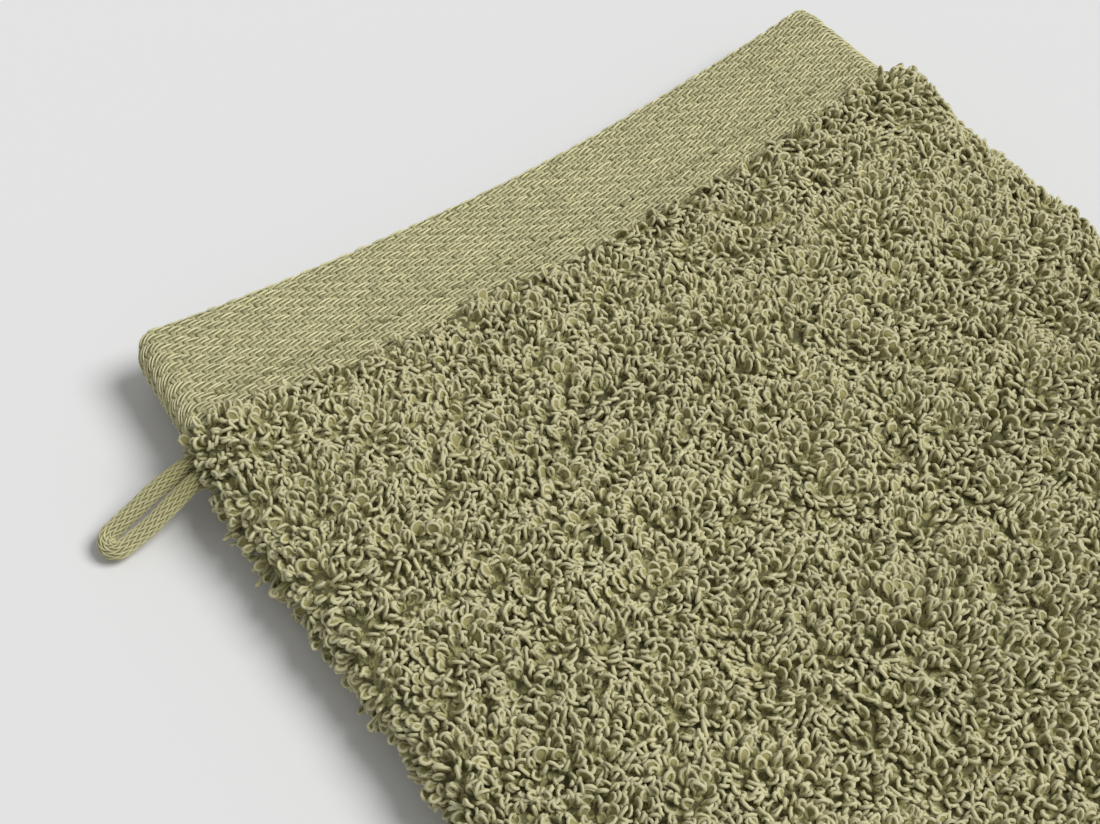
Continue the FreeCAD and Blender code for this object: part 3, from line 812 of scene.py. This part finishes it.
def band(side, word):
    # ground: one cloth folded at the mouth, its two skins and their rim
    edge = 82.45
    us = np.concatenate([np.linspace(-edge, -75.4, 9)[:-1], np.linspace(-75.4, 75.4, 150), np.linspace(75.4, edge, 9)[1:]])
    ss = np.concatenate([np.linspace(-27.5, -2.4, 24), np.linspace(-1.9, 1.9, 13), np.linspace(2.4, 28.0, 44)])
    U, S_ = np.meshgrid(us, ss)
    o = -0.15 - stitch_dip(U, S_)
    outer = hem(U, S_, o, side)
    inner = hem(U, S_, -1.02, side)
    if side < 0:
        outer, inner = outer[:, ::-1], inner[:, ::-1]
    # the band and its mirror meet at the sides without touching
    for a in (outer, inner):
        if side > 0:
            a[..., 2] = np.maximum(a[..., 2], MID - drop(a[..., 0], a[..., 1], 1) + 0.03)
        else:
            a[..., 2] = np.minimum(a[..., 2], MID - drop(a[..., 0], a[..., 1], -1) - 0.03)
    cloth = closed_cloth(f"{word}_hem_cloth", outer, inner, mat_weave_ground, 0.5)
    made = []
    # weft and warp floats of a 2/2 twill
    rows = np.arange(int(-9.0 / Q_W), int(28.4 / Q_W) + 1)
    cols = np.arange(-26, 27)
    Rr, Cc = np.meshgrid(rows, cols, indexing="ij")
    Rr, Cc = Rr.ravel(), Cc.ravel()
    for kind in ("weft", "warp"):
        if kind == "weft":
            cu = ((-Rr + 0.5) % 4) * P_W + 4 * P_W * Cc
            cs = Rr * Q_W
        else:
            cu = ((-Rr + 2.0) % 4) * P_W + 4 * P_W * Cc
            cs = (Rr + 0.5) * Q_W
        n = len(cu)
        cu = cu + rng.normal(0, 0.12, n) + 0.18 * MEDIUM(cu / 8.0, cs / 5.0)
        cs = cs + rng.normal(0, 0.045, n) + 0.12 * LEAN_A(cu / 13.0, cs / 9.0)
        ok = (np.abs(cu) < edge - 0.3) & (cs > -8.5) & (cs < 28.0)
        cu, cs = cu[ok], cs[ok]
        n = len(cu)
        k = 7 if kind == "weft" else 5
        t = np.linspace(-1, 1, k)[None, :]
        if kind == "weft":
            half = 1.38 * np.clip(rng.normal(1, 0.13, n), 0.65, 1.35)[:, None]
            skew = rng.normal(0.15, 0.07, n)[:, None]
            a = cu[:, None] + half * t
            b = cs[:, None] + half * t * skew
            h = 0.10 - 0.19 * t**2 - 0.08 * t**6
            rw, rh = 0.205, 0.20
        else:
            half = 0.80 * np.clip(rng.normal(1, 0.05, n), 0.85, 1.15)[:, None]
            skew = rng.normal(-0.15, 0.08, n)[:, None]
            a = cu[:, None] + half * t * skew
            b = cs[:, None] + half * t
            h = -0.06 - 0.06 * t**2 - 0.06 * t**6
            rw, rh = 0.58, 0.14
        h = h + rng.normal(0, 0.035, n)[:, None] - stitch_dip(a, b)
        a = np.clip(a, -edge, edge)
        pos, nrm, ta, tb = frame_of(hem, a, b, h, side)
        tan = np.empty_like(pos)
        tan[:, 1:-1] = pos[:, 2:] - pos[:, :-2]
        tan[:, 0] = pos[:, 1] - pos[:, 0]
        tan[:, -1] = pos[:, -1] - pos[:, -2]
        tan = unit(tan)
        e2 = unit(nrm - tan * (nrm * tan).sum(-1, keepdims=True))
        e1 = np.cross(e2, tan)
        taper = 1 - 0.22 * t**4
        r1 = rw * taper * np.clip(rng.normal(1, 0.06, n), 0.8, 1.2)[:, None]
        r2 = rh * taper * np.ones((n, 1))
        tone = np.clip(0.5 + 0.30 * rng.normal(size=n) + 0.14 * TONE_N(cu / 6.0, cs / 0.6), 0, 1)
        # painted shade: a float is darker towards its ends, darker if it is warp, which lies under the weft, and darker
        # in the sewn row's dip
        depth = np.clip((1.0 - 0.5 * t**2) if kind == "weft" else (0.38 - 0.16 * t**2), 0, 1) * np.ones((n, 1))
        depth = np.clip(depth - 1.1 * stitch_dip(a, b), 0, 1)
        d = np.stack([np.repeat(tone[:, None], k, 1), depth, np.zeros((n, k))], -1)
        sides = 5 if kind == "weft" else 4
        ob = tubes(f"{word}_hem_{kind}", pos, e1, e2, r1, r2, mat_weave, d, sides=sides, spin=math.pi / 2 if sides == 5 else math.pi / 4)
        made.append(ob)
    # the sewn row: short lockstitches sunk in the cloth between needle holes
    m = np.arange(-25, 25)
    cu = (m + 0.5) * STITCH_P
    t = np.linspace(-1, 1, 7)[None, :]
    a = cu[:, None] + 1.12 * t
    b = np.full_like(a, STITCH_S) + rng.normal(0, 0.04, len(m))[:, None]
    h = 0.02 - 0.50 * t**4 - 0.0 * a
    pos, nrm, ta, tb = frame_of(hem, a, b, h, side)
    tan = unit(np.gradient(pos, axis=1))
    e2 = unit(nrm - tan * (nrm * tan).sum(-1, keepdims=True))
    e1 = np.cross(e2, tan)
    rr = 0.17 * (1 - 0.2 * t**4) * np.ones((len(m), 1))
    # painted shade: the stitch is darker towards its ends, where it sinks into the cloth
    d = np.stack([np.full_like(a, 0.45), np.clip(0.75 - 0.6 * t**4, 0, 1) * np.ones((len(m), 1)), np.zeros_like(a)], -1)
    st = tubes(f"{word}_hem_stitches", pos, e1, e2, rr, rr, mat_thread, d, sides=6)
    made.append(st)
    return cloth, made


front_band, front_made = band(1, "front")
back_band, back_made = band(-1, "back")


# ------------------------------------------------------------------ seam allowances inside
def allowance(side_x, side_z, word):
    """A raw cloth edge turned inside along a side seam: a thin slab with a frayed, rounded edge."""
    ys = np.linspace(-108.0, 96.0, 120)
    prof = []
    x0, x1 = 69.55, 77.6
    z0, z1 = 0.06, 1.75
    for x, z in ((x1, z0), (x0 + 0.5, z0), (x0 + 0.1, z0 + 0.35), (x0, (z0 + z1) / 2), (x0 + 0.1, z1 - 0.35), (x0 + 0.5, z1), (x1, z1)):
        prof.append((x, z))
    prof = np.array(prof)
    k = len(prof)
    y = np.repeat(ys[:, None], k, 1)
    x = np.repeat(prof[None, :, 0], len(ys), 0) + 0.10 * MEDIUM(ys / 3.0, ys * 0 + side_z)[:, None] * (prof[None, :, 0] < x0 + 0.2)
    z = np.repeat(prof[None, :, 1], len(ys), 0)
    ybase = bow_y(x, MOUTH_Y) + mouth_shift(side_x * x) + 3.6
    y = np.maximum(y, ybase)
    pts = np.stack([side_x * x, y, MID + side_z * z - drop(side_x * x, y, side_z)], -1)
    n = pts.shape[0] * k
    i, j = np.meshgrid(np.arange(len(ys) - 1), np.arange(k), indexing="ij")
    jn = (j + 1) % k
    q = np.stack([i * k + j, i * k + jn, (i + 1) * k + jn, (i + 1) * k + j], -1).reshape(-1, 4)
    if side_x * side_z > 0:
        q = q[:, ::-1]
    end0 = np.arange(k)
    end1 = (len(ys) - 1) * k + np.arange(k)
    tris = []
    for a in range(1, k - 1):
        tris.append((end0[0], end0[a], end0[a + 1]))
        tris.append((end1[0], end1[a + 1], end1[a]))
    return make_mesh(word, pts.reshape(-1, 3), q, mat_weave_ground, np.tile((0.5, 0.5, 0.0), (n, 1)), None, tris=tris)


def overlock(side_x, name):
    """Overlock stitches round the two raw edges of a side seam: slanting bars over them."""
    ys = np.arange(-101.0, 88.0, 2.0)
    ring = [(73.4, 1.95), (69.6, 2.0), (69.15, 1.2), (69.05, 0.0), (69.15, -1.2), (69.6, -2.0), (73.4, -1.95)]
    k = len(ring)
    n = len(ys)
    x = np.repeat(np.array([r[0] for r in ring])[None], n, 0)
    z = np.repeat(np.array([r[1] for r in ring])[None], n, 0)
    y = ys[:, None] + np.linspace(-0.8, 0.8, k)[None] + rng.normal(0, 0.08, (n, 1))
    c = np.stack([side_x * x, y, MID + z - drop(side_x * x, y, -1)], -1)
    t = np.empty_like(c)
    t[:, 1:-1] = c[:, 2:] - c[:, :-2]
    t[:, 0] = c[:, 1] - c[:, 0]
    t[:, -1] = c[:, -1] - c[:, -2]
    t = unit(t)
    e1 = unit(np.cross(t, np.array([0.0, 1.0, 0.0])))
    e2 = np.cross(t, e1)
    r = np.full((n, k), 0.2)
    d = np.stack([np.full((n, k), 0.5), np.full((n, k), 0.6), np.zeros((n, k))], -1)
    return tubes(name, c, e1, e2, r, r, mat_thread, d, sides=6)


left_thread = overlock(1, "left_seam_overlock")
allow = []
for sx, wx in ((1, "left"), (-1, "right")):
    for sz, wz in ((1, "front"), (-1, "back")):
        allow.append(allowance(sx, sz, f"{wz}_{wx}_seam_allowance"))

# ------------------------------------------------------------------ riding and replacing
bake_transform(loop_cord)
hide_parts("hanging_loop")
for word, cloth, bandc, made in (
    ("front", front_cloth, front_band, front_made),
    ("back", back_cloth, back_band, back_made),
):
    for ob in pieces[word]:
        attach(ob, "mitt")
    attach(cloth, "mitt")
    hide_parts(f"{word}_panel")
    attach(bandc, "mitt")
    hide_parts(f"{word}_cuff")
    for ob in made:
        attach(ob, "mitt")
    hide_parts(f"{word}_hem_stitching")
for ob in allow:
    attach(ob, "mitt")
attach(left_thread, "mitt")
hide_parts("left_seam_thread")
for ob in tails:
    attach(ob, "mitt")
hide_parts("loop_ends")
for name in ("right_seam_thread", "end_seam_thread"):
    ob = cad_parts[name]
    for sl in ob.material_slots:
        sl.material = mat_thread

# ------------------------------------------------------------------ stage and light
def floor():
    m = bpy.data.materials.new("floor")
    m.use_nodes = True
    p = m.node_tree.nodes["Principled BSDF"]
    p.inputs["Base Color"].default_value = (0.80, 0.80, 0.80, 1)
    p.inputs["Roughness"].default_value = 0.95
    p.inputs["Specular IOR Level"].default_value = 0.1
    me = bpy.data.meshes.new("floor")
    s = 30.0
    me.from_pydata([(-s, -s, 0), (s, -s, 0), (s, s, 0), (-s, s, 0)], [], [(0, 1, 2, 3)])
    me.materials.append(m)
    ob = bpy.data.objects.new("floor", me)
    scene.collection.objects.link(ob)
    return ob


floor()
world = bpy.data.worlds.new("studio")
scene.world = world
world.use_nodes = True
bg = world.node_tree.nodes["Background"]
bg.inputs[0].default_value = (1.0, 1.0, 1.0, 1)
bg.inputs[1].default_value = 0.34


el = math.radians(51.5)
key = bpy.data.lights.new("key", "SUN")
key.energy = 2.51
key.angle = math.radians(29)
key_ob = bpy.data.objects.new("key", key)
key_ob.rotation_mode = "QUATERNION"
key_ob.rotation_quaternion = Vector((-0.80 * math.cos(el), 0.60 * math.cos(el), math.sin(el))).to_track_quat("Z", "Y")
scene.collection.objects.link(key_ob)

scene.view_settings.view_transform = "Standard"
scene.view_settings.look = "None"
